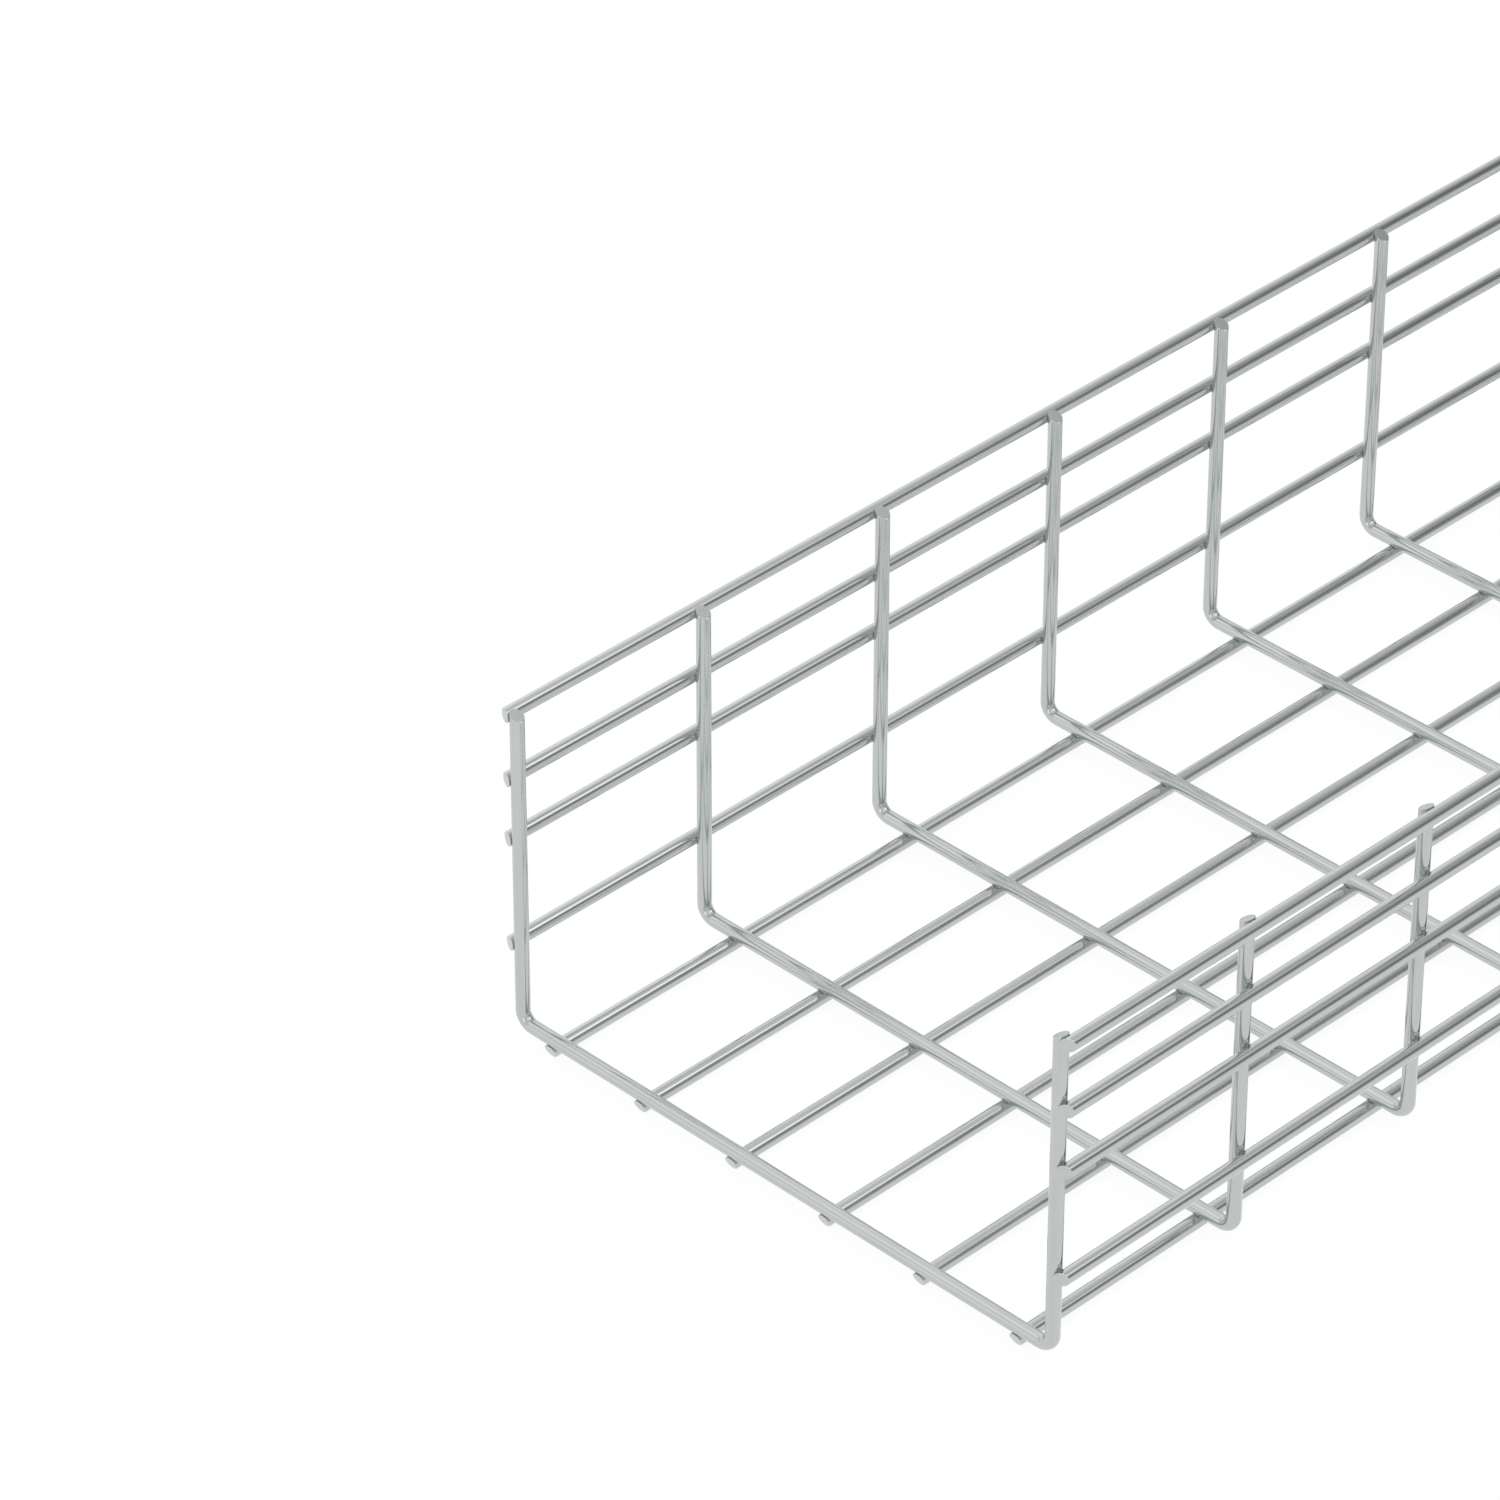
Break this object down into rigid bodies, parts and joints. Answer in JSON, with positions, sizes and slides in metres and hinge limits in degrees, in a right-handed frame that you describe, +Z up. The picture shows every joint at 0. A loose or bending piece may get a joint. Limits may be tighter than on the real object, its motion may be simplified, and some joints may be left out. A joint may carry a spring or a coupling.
{
  "type": "wire mesh cable basket",
  "caption": "Open U-shaped basket tray of round galvanised wires welded in a mesh, with upright walls and slant-cut leg ends, that carries cables along a wall or ceiling.",
  "frame": {"origin": "centre of the basket's length and width, on the plane that its floor wires stand on", "axes": "+X along the basket, +Y across it towards the left wall, +Z up"},
  "size_m": [3.006, 0.3, 0.155],
  "materials": {
    "galvanised_wire": "satin bright zinc coating on drawn steel wire"
  },
  "bodies": {
    "root": {"cross_wire_01": "galvanised_wire", "cross_wire_02": "galvanised_wire", "cross_wire_03": "galvanised_wire", "cross_wire_04": "galvanised_wire", "cross_wire_05": "galvanised_wire", "cross_wire_06": "galvanised_wire", "cross_wire_07": "galvanised_wire", "cross_wire_08": "galvanised_wire", "cross_wire_09": "galvanised_wire", "cross_wire_10": "galvanised_wire", "cross_wire_11": "galvanised_wire", "cross_wire_12": "galvanised_wire", "cross_wire_13": "galvanised_wire", "cross_wire_14": "galvanised_wire", "cross_wire_15": "galvanised_wire", "cross_wire_16": "galvanised_wire", "cross_wire_17": "galvanised_wire", "cross_wire_18": "galvanised_wire", "cross_wire_19": "galvanised_wire", "cross_wire_20": "galvanised_wire", "cross_wire_21": "galvanised_wire", "cross_wire_22": "galvanised_wire", "cross_wire_23": "galvanised_wire", "cross_wire_24": "galvanised_wire", "cross_wire_25": "galvanised_wire", "cross_wire_26": "galvanised_wire", "cross_wire_27": "galvanised_wire", "cross_wire_28": "galvanised_wire", "cross_wire_29": "galvanised_wire", "cross_wire_30": "galvanised_wire", "cross_wire_31": "galvanised_wire", "floor_wire_01": "galvanised_wire", "floor_wire_02": "galvanised_wire", "floor_wire_03": "galvanised_wire", "floor_wire_04": "galvanised_wire", "floor_wire_05": "galvanised_wire", "floor_wire_06": "galvanised_wire", "left_wall_wire_01": "galvanised_wire", "left_wall_wire_02": "galvanised_wire", "left_wall_wire_03": "galvanised_wire", "left_wall_wire_04": "galvanised_wire", "right_wall_wire_01": "galvanised_wire", "right_wall_wire_02": "galvanised_wire", "right_wall_wire_03": "galvanised_wire", "right_wall_wire_04": "galvanised_wire"}
  },
  "joints": []
}
